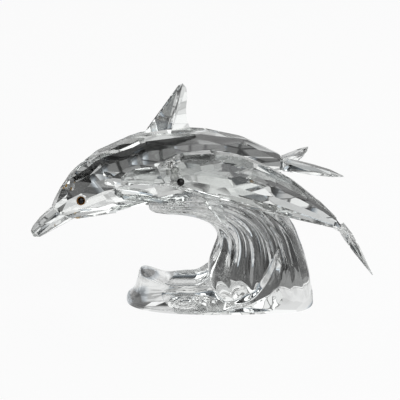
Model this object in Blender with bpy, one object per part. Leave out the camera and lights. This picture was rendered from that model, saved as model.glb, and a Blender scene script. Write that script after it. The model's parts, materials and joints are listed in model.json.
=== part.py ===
"""Cut crystal figurine: a large and a small dolphin over a breaking wave.

Metres, +Z up. The origin is the centre of the wave's flat underside. Both dolphins
swim towards -X. Each is laid out on a grid of its own, drawn at about a millimetre a
step: along the body (tail positive), across (far side positive) and up.
"""
import math

import bmesh
import bpy
from mathutils import Matrix, Vector
from mathutils.bvhtree import BVHTree

MM = 0.001
CLEAR = 0.3 * MM
BLOCK = 0.3

# Main sizes, from which every piece takes its own
FIGURINE_LENGTH = 170 * MM
FIGURINE_DEPTH = 85 * MM
FIGURINE_HEIGHT = 109 * MM

# Each dolphin runs along the figurine and sweeps across it from beak to tail
LARGE_RUN = 0.879 * FIGURINE_LENGTH
LARGE_SWEEP = 0.438 * FIGURINE_DEPTH
LARGE_LENGTH = math.hypot(LARGE_RUN, LARGE_SWEEP)
LARGE_TURN = math.atan2(LARGE_SWEEP, LARGE_RUN)
LARGE_WIDTH = 0.3765 * FIGURINE_DEPTH
LARGE_HEIGHT = 0.5413 * FIGURINE_HEIGHT
LARGE_ALONG_WAVE = -0.0588 * FIGURINE_LENGTH
LARGE_FLUKE_SPAN = 0.6588 * FIGURINE_DEPTH
FIN_HEIGHT = 0.2202 * FIGURINE_HEIGHT
SMALL_RUN = 0.728 * FIGURINE_LENGTH
SMALL_SWEEP = 0.2047 * FIGURINE_DEPTH
SMALL_LENGTH = math.hypot(SMALL_RUN, SMALL_SWEEP)
SMALL_TURN = math.atan2(SMALL_SWEEP, SMALL_RUN)
SMALL_WIDTH = 0.2588 * FIGURINE_DEPTH
SMALL_HEIGHT = 0.578 * FIGURINE_HEIGHT
SMALL_FLUKE_SPAN = 0.3294 * FIGURINE_DEPTH
SIDE_BY_SIDE = 2 * MM
WAVE_LENGTH = 0.5588 * FIGURINE_LENGTH
WAVE_DEPTH = 0.5294 * FIGURINE_DEPTH
WAVE_HEIGHT = 0.5367 * FIGURINE_HEIGHT
LARGE_EYE_RADIUS = 2.0 * MM
SMALL_EYE_RADIUS = 1.6 * MM
EYE_DEPTH = 1.6 * MM
EYE_DOME = 0.45
EYE_LEVELS = (0.0, 0.35, 0.65, 0.88, 1.0)

# Grid steps that the dolphins and the wave are drawn on: along, across and up
LARGE_GRID = (LARGE_LENGTH / 154, LARGE_WIDTH / 32, LARGE_HEIGHT / 59)
SMALL_GRID = (SMALL_LENGTH / 125, SMALL_WIDTH / 22, SMALL_HEIGHT / 63)
WAVE_GRID = (WAVE_LENGTH / 95, WAVE_DEPTH / 45, WAVE_HEIGHT / 58.5)
# Grid height at which each dolphin sits on the wave
LARGE_SEAT = 50.6
SMALL_SEAT = 52.0

# Body stations: back along, back height, belly along, belly height, half width
LARGE_BODY = (
    (-76.0, 46.0, -72.0, 43.8, 5.0),
    (-75.2, 53.0, -68.0, 44.2, 7.3),
    (-71.0, 60.6, -61.5, 44.8, 9.6),
    (-64.3, 68.8, -53.5, 45.6, 12.0),
    (-54.5, 75.8, -43.0, 46.7, 14.2),
    (-41.5, 81.8, -29.0, 48.1, 15.8),
    (-26.0, 85.8, -14.0, 49.8, 16.3),
    (-8.0, 86.4, 2.0, 51.8, 15.8),
    (10.0, 83.5, 17.0, 54.3, 13.8),
    (27.0, 77.6, 30.0, 57.3, 10.3),
    (42.0, 69.0, 43.0, 60.6, 6.8),
    (56.0, 59.0, 56.0, 64.0, 4.5),
)
SMALL_BODY = (
    (-34.0, 68.0, -31.0, 67.3, 4.0),
    (-32.0, 74.4, -26.0, 65.7, 5.8),
    (-27.0, 78.0, -19.0, 63.4, 7.7),
    (-19.0, 80.9, -10.0, 60.5, 9.5),
    (-8.0, 81.7, 1.0, 57.0, 10.7),
    (4.0, 80.2, 13.0, 53.2, 10.9),
    (16.0, 76.2, 25.0, 49.5, 9.9),
    (28.0, 70.1, 36.0, 46.1, 8.1),
    (39.0, 62.9, 46.0, 43.1, 6.1),
    (48.6, 54.4, 53.0, 41.1, 4.6),
    (57.5, 46.0, 59.0, 39.3, 3.4),
    (64.0, 36.5, 63.0, 38.3, 2.6),
)
# Facet rows: angle round the body in degrees, first station, spacing in stations
LARGE_ROWS = (
    (90, 1.3, 1.15), (62, 1.9, 1.5), (38, 1.15, 1.5), (13, 1.9, 1.5), (-13, 1.2, 1.7),
    (-42, 1.9, 2.2), (-90, 1.4, 2.2),
)
SMALL_ROWS = (
    (90, 1.2, 1.2), (60, 1.9, 1.6), (33, 1.1, 1.6), (6, 1.9, 1.8), (-22, 1.2, 2.3),
    (-52, 2.3, 2.2), (-90, 1.5, 2.4),
)

# Joints of the pieces on each body, in its middle plane: two points on the line
LARGE_BEAK_JOINT = ((-76.7, 50.6), (-64.4, 44.6))
LARGE_TAIL_JOINT = ((41.0, 72.0), (41.0, 57.0))
FIN_SEAT = ((-32.0, 85.1), (-3.0, 85.1))
SMALL_BEAK_JOINT = ((-31.5, 75.4), (-26.3, 65.4))
SMALL_TAIL_JOINT = ((57.8, 45.2), (56.0, 38.9))

# Belly flat of the large dolphin: along and height
BELLY_FLAT = ((-45.0, 47.6), (-37.5, LARGE_SEAT), (-4.0, LARGE_SEAT))

# Wave sheet stations: inner x and z, outer x and z, half depth, middle y
WAVE_SHEET = (
    (0.0, -6.0, 47.4, -6.0, 21.4, 0.8),
    (-4.0, 5.0, 46.8, 4.0, 21.2, 0.8),
    (-6.5, 15.5, 45.4, 12.5, 20.6, 1.0),
    (-4.2, 24.5, 43.2, 21.5, 20.0, 1.0),
    (-1.8, 31.5, 40.2, 30.0, 18.8, 1.0),
    (-2.2, 37.0, 36.5, 38.5, 17.6, 1.0),
    (-5.5, 41.8, 29.0, 47.5, 16.5, 1.0),
    (-12.0, 44.8, 16.5, 55.0, 15.0, 1.0),
    (-20.5, 46.3, 1.0, 58.5, 12.5, 0.5),
    (-28.0, 46.6, -14.0, 57.0, 10.0, 0.0),
    (-33.0, 47.2, -27.0, 55.0, 7.6, -0.5),
    (-35.6, 48.6, -35.0, 53.4, 5.0, -1.0),
    (-36.2, 50.2, -36.0, 52.2, 2.2, -1.0),
)
SHEET_RINGS_PER_STATION = 2
SHEET_ROUNDING = 3.0
# Shares of the way from the inner to the outer edge where a ridge runs down the sheet
SHEET_RIDGES = (0.0, 0.21, 0.44, 0.63, 0.8, 0.91, 1.0)
FLUTE_STEPS = 5
FLUTE_DEPTH = 0.5
FLUTE_START = 0.8
FLUTE_RUN = 1.6

BASE_MIDDLE = -0.5
BASE_SQUARENESS = 2.6
BASE_SEGMENTS = 64
# Rings up the base's flared side: distance in from the outline at the left, right and back,
# distance in at the front, and their shares of the rim's height
BASE_SIDES = (
    (1.7, 3.0, 0.06, 0.10), (4.2, 7.5, 0.34, 0.30), (5.6, 11.5, 0.66, 0.54),
    (6.6, 13.2, 0.96, 0.95),
)
POOL_RIM = (7.8, 14.2)
BASE_FRONT_START = 0.15
BASE_FRONT_RUN = 0.6
POOL_RINGS = (1.0, 0.93, 0.85, 0.76, 0.66, 0.55, 0.43, 0.3, 0.15)
POOL_MIDDLE = 4.0
POOL_REACH = 13.0
POOL_EDGE_HEIGHT = 1.5
POOL_LEVEL = 8.0
POOL_LIP_RISE = 7.8
POOL_LIP_START = -24.0
POOL_LIP_RUN = 17.0
POOL_LIP_FALL = 0.8
POOL_BOWL = 3.0
POOL_FILLET_RISE = 5.0
POOL_FILLET_START = -13.0
POOL_FILLET_RUN = 10.0


def lerp(low, high, share):
    """Value at a share of the way between two numbers."""
    return low + (high - low) * share


def smooth(share):
    """Share from 0 to 1 that starts and ends level."""
    share = min(max(share, 0), 1)
    return share * share * (3 - 2 * share)


def bspline(rows, at):
    """Row at a station of the uniform cubic B-spline over the rows."""
    first = min(max(int(at), 1), len(rows) - 3)
    part = at - first
    weights = (
        (1 - part) ** 3 / 6,
        (3 * part ** 3 - 6 * part ** 2 + 4) / 6,
        (-3 * part ** 3 + 3 * part ** 2 + 3 * part + 1) / 6,
        part ** 3 / 6,
    )
    return [
        sum(weight * rows[first - 1 + k][column] for k, weight in enumerate(weights))
        for column in range(len(rows[0]))
    ]


def through(rows, at):
    """Row at a station of the Catmull-Rom curve through the rows."""
    first = min(int(at), len(rows) - 2)
    part = at - first
    before = rows[max(first - 1, 0)]
    after = rows[min(first + 2, len(rows) - 1)]
    out = []
    for a, b, c, d in zip(before, rows[first], rows[first + 1], after):
        out.append(0.5 * (2 * b + (c - a) * part + (2 * a - 5 * b + 4 * c - d) * part ** 2
                          + (3 * b - a - 3 * c + d) * part ** 3))
    return out


def skin(stations, at, angle):
    """Point of the smooth guide body at a station and an angle round it."""
    back_x, back_z, belly_x, belly_z, half = bspline(stations, at)
    rise = math.sin(angle) / 2
    return MM * Vector((
        (back_x + belly_x) / 2 + (back_x - belly_x) * rise,
        -half * math.cos(angle),
        (back_z + belly_z) / 2 + (back_z - belly_z) * rise,
    ))


def touching_plane(stations, at, angle):
    """Plane that touches the guide body: a point and the outward normal."""
    step = 0.01
    here = skin(stations, at, angle)
    along = skin(stations, at + step, angle) - skin(stations, at - step, angle)
    around = skin(stations, at, angle + step) - skin(stations, at, angle - step)
    normal = along.cross(around).normalized()
    middle = (skin(stations, at, math.pi / 2) + skin(stations, at, -math.pi / 2)) / 2
    if normal.dot(here - middle) < 0:
        normal = -normal
    return here, normal


def facet_planes(stations, rows):
    """Planes of every facet: each row on both sides, the ridge and keel rows once."""
    planes = []
    for degrees, first, spacing in rows:
        at = first
        while at < len(stations) - 1.9:
            angle = math.radians(degrees)
            planes.append(touching_plane(stations, at, angle))
            if abs(degrees) != 90:
                planes.append(touching_plane(stations, at, math.pi - angle))
            at += spacing
    return planes


def joint_plane(line, keep):
    """Plane square to the middle plane along a joint line, facing away from a point."""
    start, end = (MM * Vector((x, 0, z)) for x, z in line)
    normal = (end - start).cross(Vector((0, 1, 0))).normalized()
    if normal.dot(MM * Vector((keep[0], 0, keep[1])) - start) > 0:
        normal = -normal
    return start, normal


def cut_stone(planes, margin=0.0):
    """Convex stone that the planes leave of a block, each plane moved out by a margin."""
    stone = bmesh.new()
    bmesh.ops.create_cube(stone, size=2 * BLOCK)
    for point, normal in planes:
        cut = bmesh.ops.bisect_plane(
            stone, geom=stone.verts[:] + stone.edges[:] + stone.faces[:], dist=1e-7,
            plane_co=point + normal * margin, plane_no=normal, clear_outer=True)
        edges = [part for part in cut["geom_cut"] if isinstance(part, bmesh.types.BMEdge)]
        if edges:
            bmesh.ops.edgeloop_fill(stone, edges=edges)
    bmesh.ops.remove_doubles(stone, verts=stone.verts[:], dist=0.02 * MM)
    bmesh.ops.recalc_face_normals(stone, faces=stone.faces[:])
    return stone


def hull(points):
    """Convex stone over points given in mm."""
    stone = bmesh.new()
    for point in points:
        stone.verts.new(MM * Vector(point))
    bmesh.ops.convex_hull(stone, input=stone.verts[:])
    loose = [vert for vert in stone.verts if not vert.link_faces]
    bmesh.ops.delete(stone, geom=loose, context="VERTS")
    bmesh.ops.recalc_face_normals(stone, faces=stone.faces[:])
    return stone


def planes_of(stone):
    """Face planes of a convex stone, one for faces that lie in the same plane."""
    planes = []
    for face in stone.faces:
        point = face.verts[0].co
        if not any(normal.dot(face.normal) > 0.9999 for _, normal in planes):
            planes.append((point.copy(), face.normal.copy()))
    return planes


def layout(x, y, turn, grid, seat):
    """Matrix from a dolphin's grid to its place on the wave."""
    steps = [step / MM for step in grid] + [1]
    return (Matrix.Translation((x, y, seat * WAVE_GRID[2])) @ Matrix.Rotation(turn, 4, "Z")
            @ Matrix.Diagonal(steps) @ Matrix.Translation((0, 0, -seat * MM)))


def add_object(name, stone, place=None, cutter=False):
    """Object made from a bmesh, put in the figurine or among the hidden cutters."""
    if place:
        bmesh.ops.transform(stone, matrix=place, verts=stone.verts[:])
    mesh = bpy.data.meshes.new(name)
    stone.to_mesh(mesh)
    stone.free()
    made = bpy.data.objects.new(name, mesh)
    collection_name = "Cutters" if cutter else "Figurine"
    bpy.data.collections[collection_name].objects.link(made)
    if cutter:
        made.hide_render = True
        made.display_type = "WIRE"
    return made


def combine(target, other, operation):
    """Exact Boolean of a hidden object on a piece."""
    step = target.modifiers.new(other.name, "BOOLEAN")
    step.operation = operation
    step.solver = "EXACT"
    step.object = other


def clear_scene():
    """Empties the scene and makes the two collections."""
    for old in list(bpy.data.objects):
        bpy.data.objects.remove(old, do_unlink=True)
    for name in ("Figurine", "Cutters"):
        bpy.context.scene.collection.children.link(bpy.data.collections.new(name))


def ring(centre, up, half_height, half_width, sides=8):
    """Ring of points in mm round a centre in the middle plane, one flat side on top."""
    up = Vector((up[0], 0, up[1])).normalized()
    points = []
    for k in range(sides):
        angle = 2 * math.pi * (k + 0.5) / sides
        spread = 1 / math.cos(math.pi / sides)
        point = Vector((centre[0], 0, centre[1])) + up * (half_height * spread * math.cos(angle))
        points.append(point + Vector((0, half_width * spread * math.sin(angle), 0)))
    return points


def shifted_line(line, keep, distance):
    """Joint line moved away from a kept point, in mm."""
    start, normal = joint_plane(line, keep)
    move = normal * distance / MM
    return [(x + move.x, z + move.z) for x, z in line]


def joint_ring(line, keep, half_width, shrink):
    """Ring that meets a joint line with the glue gap."""
    (top_x, top_z), (low_x, low_z) = shifted_line(line, keep, CLEAR)
    centre = ((top_x + low_x) / 2, (top_z + low_z) / 2)
    up = (top_x - low_x, top_z - low_z)
    return ring(centre, up, math.hypot(*up) / 2 * shrink, half_width)


def blade(points):
    """Thin convex stone: each point in mm with half its thickness and the way it faces."""
    both = []
    for x, y, z, half, facing in points:
        side = Vector(facing).normalized() * half
        both += [Vector((x, y, z)) + side, Vector((x, y, z)) - side]
    return hull(both)


def mirrored(points):
    """The same blade points for the other side of the dolphin."""
    return [(x, -y, z, half, (f[0], -f[1], f[2])) for x, y, z, half, f in points]


# Dolphin bodies

def body_planes(stations, rows, joints, keep):
    """All planes of a body: its facets and the flats where other pieces are glued."""
    return facet_planes(stations, rows) + [joint_plane(line, keep) for line in joints]


def belly_wedge(margin):
    """Wedge cut out under the large dolphin behind the throat."""
    (front_x, front_z), (rise_x, rise_z), (rear_x, rear_z) = BELLY_FLAT
    low = 2 * front_z - rear_z - LARGE_SEAT / 3
    outline = ((front_x, front_z), (rise_x, rise_z), (rear_x, rear_z), (rear_x, low),
               (front_x, low))
    wedge = bmesh.new()
    for side in (-1, 1):
        for x, z in outline:
            wedge.verts.new(Vector((x * MM, side * LARGE_WIDTH, z * MM - margin)))
    bmesh.ops.convex_hull(wedge, input=wedge.verts[:])
    bmesh.ops.recalc_face_normals(wedge, faces=wedge.faces[:])
    return wedge


# Eyes

def turned(profile, segments=16):
    """Solid turned about Z from radius and height pairs that start and end on the axis."""
    solid = bmesh.new()
    verts = [solid.verts.new((radius, 0, height)) for radius, height in profile]
    edges = [solid.edges.new(pair) for pair in zip(verts, verts[1:])]
    bmesh.ops.spin(solid, geom=verts + edges, cent=(0, 0, 0), axis=(0, 0, 1),
                   angle=2 * math.pi, steps=segments, use_merge=True)
    bmesh.ops.remove_doubles(solid, verts=solid.verts[:], dist=1e-6)
    bmesh.ops.recalc_face_normals(solid, faces=solid.faces[:])
    return solid


def eye_bead(radius):
    """Domed bead with a short shank."""
    profile = [(0, -EYE_DEPTH), (radius, -EYE_DEPTH)]
    for level in EYE_LEVELS:
        angle = level * math.pi / 2
        profile.append((radius * math.cos(angle), radius * EYE_DOME * math.sin(angle)))
    profile[-1] = (0, radius * EYE_DOME)
    return turned(profile)


def eye_socket(radius):
    """Drilled seat of an eye bead."""
    deep = -EYE_DEPTH - CLEAR
    wide = radius + CLEAR
    high = 2 * radius
    return turned([(0, deep), (wide, deep), (wide, high), (0, high)])


def surface_at(tree, along, height, side):
    """Where a line across the dolphin first meets the body, and the facet's normal."""
    start = Vector((along * MM, side * BLOCK / 2, height * MM))
    where, normal, _, _ = tree.ray_cast(start, Vector((0, -side, 0)))
    return where, normal


def add_eyes(prefix, body, tree, place, spot, radius):
    """Both eye beads of a dolphin and their seats."""
    for name, side in (("left", -1), ("right", 1)):
        where, normal = surface_at(tree, *spot, side)
        turn = Vector((0, 0, 1)).rotation_difference(normal).to_matrix().to_4x4()
        matrix = Matrix.Translation(where) @ turn
        socket = eye_socket(radius)
        bmesh.ops.transform(socket, matrix=matrix, verts=socket.verts[:])
        cutter = add_object(f"{prefix}_{name}_eye_seat", socket, place, cutter=True)
        combine(body, cutter, "DIFFERENCE")
        bead = eye_bead(radius)
        bmesh.ops.transform(bead, matrix=matrix, verts=bead.verts[:])
        add_object(f"{prefix}_{name}_eye", bead, place)


def add_flippers(prefix, points, body, place):
    """Both flippers of a dolphin, glued into sockets of the body; returns the sockets."""
    sockets = []
    for name, shape in (("left", points), ("right", mirrored(points))):
        stone = blade(shape)
        socket = add_object(f"{prefix}_{name}_flipper_socket",
                            cut_stone(planes_of(stone), CLEAR), place, cutter=True)
        combine(body, socket, "DIFFERENCE")
        add_object(f"{prefix}_{name}_flipper", stone, place)
        sockets.append(socket)
    return sockets


# Large dolphin

LARGE_PLACE = layout(LARGE_ALONG_WAVE, LARGE_WIDTH / 2 - SIDE_BY_SIDE, LARGE_TURN, LARGE_GRID,
                     LARGE_SEAT)
LARGE_KEEP = (-20.0, 68.0)
LARGE_EYE = (-62.8, 56.3)
# Fin points: along, across, share of the fin's height
FIN_POINTS = (
    (-29.4, 0.0, 0.0), (-16.5, 4.0, 0.0), (-5.0, 0.0, 0.0), (-11.6, 0.15, 0.963),
    (-9.3, 0.3, 1.0), (-7.6, 0.15, 0.913), (-12.2, 0.9, 0.842),
)
FIN_NOTCH = (14.0, 0.44, 21.8)
LARGE_FLIPPER = (
    (-46.0, -11.0, 60.0, 1.5, (0, 0.5, 0.9)),
    (-36.0, -11.0, 58.0, 1.5, (0, 0.5, 0.9)),
    (-43.0, -14.8, 57.6, 1.3, (0, 0.5, 0.9)),
    (-33.0, -15.6, 55.6, 1.2, (0, 0.5, 0.9)),
    (-24.0, -16.8, 54.2, 0.8, (0, 0.5, 0.9)),
    (-19.5, -17.0, 54.0, 0.3, (0, 0.5, 0.9)),
    (-25.0, -14.6, 55.6, 0.6, (0, 0.5, 0.9)),
)
# Fluke lobe points: along, share of half the span, height, half thickness, facing
FLUKE_LOBE = (
    (41.7, 0.0357, 64.4, 3.6, (0, 0, 1)),
    (41.7, -0.143, 64.2, 2.6, (0, 0, 1)),
    (44.5, -0.339, 63.8, 0.8, (0, 0, 1)),
    (52.0, -0.643, 63.8, 0.7, (0, 0, 1)),
    (61.0, -0.911, 63.9, 0.5, (0, 0, 1)),
    (66.5, -1.0, 64.0, 0.25, (0, 0, 1)),
    (62.5, -0.643, 64.8, 0.4, (0, 0, 1)),
    (56.5, -0.286, 65.0, 0.6, (0, 0, 1)),
    (49.5, 0.0429, 65.1, 0.8, (0, 0, 1)),
    (48.0, -0.286, 64.3, 2.6, (0, 0, 1)),
    (55.0, -0.571, 64.3, 2.0, (0, 0, 1)),
    (61.0, -0.804, 64.2, 1.2, (0, 0, 1)),
)


def beak(joint, keep, base_width, rings):
    """Beak cut lengthwise, from its joint to a blunt tip."""
    points = joint_ring(joint, keep, base_width, 0.88)
    for centre, up, half_height, half_width in rings:
        points += ring(centre, up, half_height, half_width)
    return hull(points)


LARGE_BEAK_RINGS = (
    ((-80.0, 42.0), (-0.55, 0.83), 3.9, 4.3),
    ((-84.6, 38.3), (-0.5, 0.87), 3.0, 3.3),
    ((-86.7, 37.2), (-0.4, 0.92), 1.5, 1.9),
)
SMALL_BEAK_RINGS = (
    ((-42.0, 70.6), (0.0, 1.0), 3.5, 3.3),
    ((-46.6, 70.1), (0.0, 1.0), 2.2, 2.3),
    ((-48.8, 69.6), (0.0, 1.0), 0.9, 1.2),
)


def fin_level(share):
    """Grid height at a share of the fin's height over its seat."""
    return FIN_SEAT[0][1] + CLEAR / MM + share * FIN_HEIGHT / LARGE_GRID[2]


def fin_stone():
    """Dorsal fin: a ridge down each side, hollowed along its rear edge."""
    return hull([(x, side * y, fin_level(share)) for x, y, share in FIN_POINTS
                 for side in (-1, 1)])


def fin_notch():
    """Cylinder across the fin that hollows its rear edge."""
    along, share, radius = FIN_NOTCH
    centre = MM * Vector((along, 0, fin_level(share)))
    notch = bmesh.new()
    bmesh.ops.create_cone(
        notch, cap_ends=True, segments=96, radius1=radius * MM, radius2=radius * MM,
        depth=LARGE_WIDTH,
        matrix=Matrix.Translation(centre) @ Matrix.Rotation(math.pi / 2, 4, "X"))
    return notch


def add_large_dolphin():
    """Large dolphin's pieces; returns the seats they leave in the wave."""
    joints = (LARGE_BEAK_JOINT, LARGE_TAIL_JOINT, FIN_SEAT)
    planes = body_planes(LARGE_BODY, LARGE_ROWS, joints, LARGE_KEEP)
    stone = cut_stone(planes)
    tree = BVHTree.FromBMesh(stone)
    body = add_object("large_dolphin_body", stone, LARGE_PLACE)
    combine(body, add_object("belly_wedge", belly_wedge(0.0), LARGE_PLACE, cutter=True),
            "DIFFERENCE")
    add_eyes("large_dolphin", body, tree, LARGE_PLACE, LARGE_EYE, LARGE_EYE_RADIUS)
    add_object("large_dolphin_beak", beak(LARGE_BEAK_JOINT, LARGE_KEEP, 6.2,
                                          LARGE_BEAK_RINGS), LARGE_PLACE)
    fin = add_object("large_dolphin_dorsal_fin", fin_stone(), LARGE_PLACE)
    combine(fin, add_object("fin_notch", fin_notch(), LARGE_PLACE, cutter=True), "DIFFERENCE")
    sockets = add_flippers("large_dolphin", LARGE_FLIPPER, body, LARGE_PLACE)
    add_large_flukes()
    seat = add_object("large_seat", cut_stone(planes, CLEAR), LARGE_PLACE, cutter=True)
    combine(seat, add_object("large_seat_wedge", belly_wedge(CLEAR), LARGE_PLACE,
                             cutter=True), "DIFFERENCE")
    return [seat] + sockets


def add_large_flukes():
    """Two lobes and the root between them, as one stone."""
    root = hull(joint_ring(LARGE_TAIL_JOINT, LARGE_KEEP, 5.2, 0.58)
                + [Vector((47.0, side * 0.6, 64.8 + up * 0.7))
                   for side in (-1, 1) for up in (-1, 1)])
    flukes = add_object("large_dolphin_flukes", root, LARGE_PLACE)
    half_span = LARGE_FLUKE_SPAN / LARGE_GRID[1] / 2
    shape = [(x, y * half_span, z, half, facing) for x, y, z, half, facing in FLUKE_LOBE]
    for name, points in (("near", shape), ("far", mirrored(shape))):
        lobe = add_object(f"large_{name}_lobe", blade(points), LARGE_PLACE, cutter=True)
        combine(flukes, lobe, "UNION")


# Small dolphin

SMALL_PLACE = layout(0, -SMALL_WIDTH / 2 - SIDE_BY_SIDE, SMALL_TURN, SMALL_GRID, SMALL_SEAT)
SMALL_KEEP = (5.0, 68.0)
SMALL_EYE = (-20.6, 69.7)
SMALL_FLIPPER = (
    (-13.0, -4.0, 64.6, 1.0, (0.5, -0.8, -0.3)),
    (-2.5, -4.0, 61.6, 1.0, (0.5, -0.8, -0.3)),
    (-11.6, -8.4, 61.4, 0.9, (0.5, -0.8, -0.3)),
    (-2.6, -9.0, 58.0, 0.9, (0.5, -0.8, -0.3)),
    (-6.6, -12.2, 54.6, 0.7, (0.5, -0.8, -0.3)),
    (-0.6, -12.4, 52.8, 0.6, (0.5, -0.8, -0.3)),
    (1.4, -14.6, 48.4, 0.25, (0.5, -0.8, -0.3)),
    (-1.6, -14.4, 49.6, 0.4, (0.5, -0.8, -0.3)),
)
SMALL_FLUKE_ROOT = (60.2, 41.4)
SMALL_FLUKE_DOWN = Vector((0.52, 0, -0.854))
SMALL_FLUKE_FACE = Vector((0.854, 0, 0.52))
# Down the fluke, share of half the span, half thickness
SMALL_FLUKE_LOBE = (
    (0.6, 0.0714, 1.9), (0.8, -0.129, 1.5), (2.0, -0.257, 0.8), (8.0, -0.571, 0.7),
    (15.0, -0.857, 0.6), (22.5, -1, 0.4), (26.5, -1, 0.2), (24.0, -0.75, 0.35),
    (18.5, -0.286, 0.6), (13.0, 0.0857, 0.8), (6.5, -0.243, 2.5), (14.0, -0.571, 1.9),
    (20.5, -0.8, 1.1),
)


def small_lobe(side):
    """One lobe of the small dolphin's flukes."""
    root = Vector((SMALL_FLUKE_ROOT[0], 0, SMALL_FLUKE_ROOT[1]))
    points = []
    half_span = SMALL_FLUKE_SPAN / SMALL_GRID[1] / 2
    for down, share, half in SMALL_FLUKE_LOBE:
        middle = root + SMALL_FLUKE_DOWN * down + Vector((0, side * share * half_span, 0))
        points += [middle + SMALL_FLUKE_FACE * half, middle - SMALL_FLUKE_FACE * half]
    return hull(points)


def add_small_flukes():
    """Bent-down flukes of the small dolphin, as one stone."""
    root = Vector((SMALL_FLUKE_ROOT[0], 0, SMALL_FLUKE_ROOT[1]))
    end = root + SMALL_FLUKE_DOWN * 6.0
    stone = hull(joint_ring(SMALL_TAIL_JOINT, SMALL_KEEP, 2.6, 0.75)
                 + [end + SMALL_FLUKE_FACE * half + Vector((0, across, 0))
                    for half in (-0.6, 0.6) for across in (-0.5, 0.5)])
    flukes = add_object("small_dolphin_flukes", stone, SMALL_PLACE)
    for name, side in (("near", 1), ("far", -1)):
        lobe = add_object(f"small_{name}_lobe", small_lobe(side), SMALL_PLACE, cutter=True)
        combine(flukes, lobe, "UNION")
    guard = cut_stone([(point, -normal) for point, normal in [joint_plane(
        shifted_line(SMALL_TAIL_JOINT, SMALL_KEEP, CLEAR), SMALL_KEEP)]])
    combine(flukes, add_object("small_tail_trim", guard, SMALL_PLACE, cutter=True),
            "INTERSECT")


def add_small_dolphin():
    """Small dolphin's pieces; returns the seats they leave in the wave."""
    joints = (SMALL_BEAK_JOINT, SMALL_TAIL_JOINT)
    planes = body_planes(SMALL_BODY, SMALL_ROWS, joints, SMALL_KEEP)
    stone = cut_stone(planes)
    tree = BVHTree.FromBMesh(stone)
    body = add_object("small_dolphin_body", stone, SMALL_PLACE)
    add_eyes("small_dolphin", body, tree, SMALL_PLACE, SMALL_EYE, SMALL_EYE_RADIUS)
    add_object("small_dolphin_beak", beak(SMALL_BEAK_JOINT, SMALL_KEEP, 4.6,
                                          SMALL_BEAK_RINGS), SMALL_PLACE)
    sockets = add_flippers("small_dolphin", SMALL_FLIPPER, body, SMALL_PLACE)
    add_small_flukes()
    return [add_object("small_seat", cut_stone(planes, CLEAR), SMALL_PLACE, cutter=True)] + sockets


# Wave

GROUND_BELOW = -5.0
SPUR_ROOT = -18.0
SPUR_FRONT = -22.4
SPUR_DEPTH = 6.0
SPUR_FOOT = 2.0
SPUR_CREST = 0.55
# Stations of the spur: x, upper and lower height where it leaves the sheet, crest x
WAVE_SPUR = (
    (-1.0, 2.2, -1.5, -2.0),
    (8.0, 7.2, 1.0, 7.0),
    (15.5, 11.5, 3.0, 14.5),
    (20.3, 17.0, 5.5, 19.0),
    (23.8, 23.0, 9.0, 22.6),
    (26.3, 29.0, 15.0, 25.4),
    (27.5, 33.0, 25.0, 27.0),
)


def on_wave_grid(x, y, z):
    """Point of the wave's grid in metres."""
    return Vector((x * WAVE_GRID[0], y * WAVE_GRID[1], z * WAVE_GRID[2]))


def sheet_steps():
    """Shares of the way across the sheet, each with how far its flute is hollowed."""
    steps = []
    for low, high in zip(SHEET_RIDGES, SHEET_RIDGES[1:]):
        for k in range(FLUTE_STEPS):
            part = k / FLUTE_STEPS
            steps.append((lerp(low, high, part), 4 * part * (1 - part) * (high - low)))
    return steps + [(1.0, 0.0)]


def sheet_ring(at):
    """Closed ring of the wave sheet: across the near side and back across the far side."""
    in_x, in_z, out_x, out_z, half, middle = through(WAVE_SHEET, at)
    depth = FLUTE_DEPTH * smooth((at - FLUTE_START) / FLUTE_RUN)
    near, far = [], []
    for share, hollow in sheet_steps():
        swell = (1 - abs(2 * share - 1) ** SHEET_ROUNDING) ** (1 / SHEET_ROUNDING)
        reach = half * swell * (1 - depth * hollow)
        x, z = lerp(in_x, out_x, share), lerp(in_z, out_z, share)
        near.append(on_wave_grid(x, middle - reach, z))
        far.append(on_wave_grid(x, middle + reach, z))
    return near + far[-2:0:-1]


def sheet_solid():
    """Fluted sheet that rises at the right and curls over to the left."""
    count = (len(WAVE_SHEET) - 1) * SHEET_RINGS_PER_STATION
    return lofted([sheet_ring(k / SHEET_RINGS_PER_STATION) for k in range(count + 1)])


def pool_height(x, y):
    """Height of the water over the pool, on the wave's grid."""
    across = ((y - POOL_MIDDLE) / POOL_REACH) ** 2
    lip = smooth((POOL_LIP_START - x) / POOL_LIP_RUN) * (1 - POOL_LIP_FALL * across)
    fillet = smooth((x - POOL_FILLET_START) / POOL_FILLET_RUN)
    return (POOL_LEVEL + POOL_LIP_RISE * lip + POOL_BOWL * across
            + POOL_FILLET_RISE * fillet)


def front_share(angle):
    """Share of the front's own shape at an angle round the base."""
    return smooth((-math.sin(angle) - BASE_FRONT_START) / BASE_FRONT_RUN)


def base_point(angle, side, front):
    """Point of the base's outline moved in, on the wave's grid."""
    power = 2 / BASE_SQUARENESS
    cos, sin = math.cos(angle), math.sin(angle)
    inset = lerp(side, front, front_share(angle))
    x = BASE_MIDDLE + (WAVE_LENGTH / WAVE_GRID[0] / 2 - inset) * math.copysign(
        abs(cos) ** power, cos)
    y = (WAVE_DEPTH / WAVE_GRID[1] / 2 - inset) * math.copysign(abs(sin) ** power, sin)
    return x, y


def side_ring(side, front, side_rise, front_rise):
    """Ring of points up the flared side, at shares of the height of the rim above it."""
    points = []
    for k in range(BASE_SEGMENTS):
        angle = 2 * math.pi * k / BASE_SEGMENTS
        x, y = base_point(angle, side, front)
        rim = pool_height(*base_point(angle, *POOL_RIM))
        rise = lerp(side_rise, front_rise, front_share(angle))
        points.append(on_wave_grid(x, y, lerp(POOL_EDGE_HEIGHT, rim, rise)))
    return points


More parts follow.
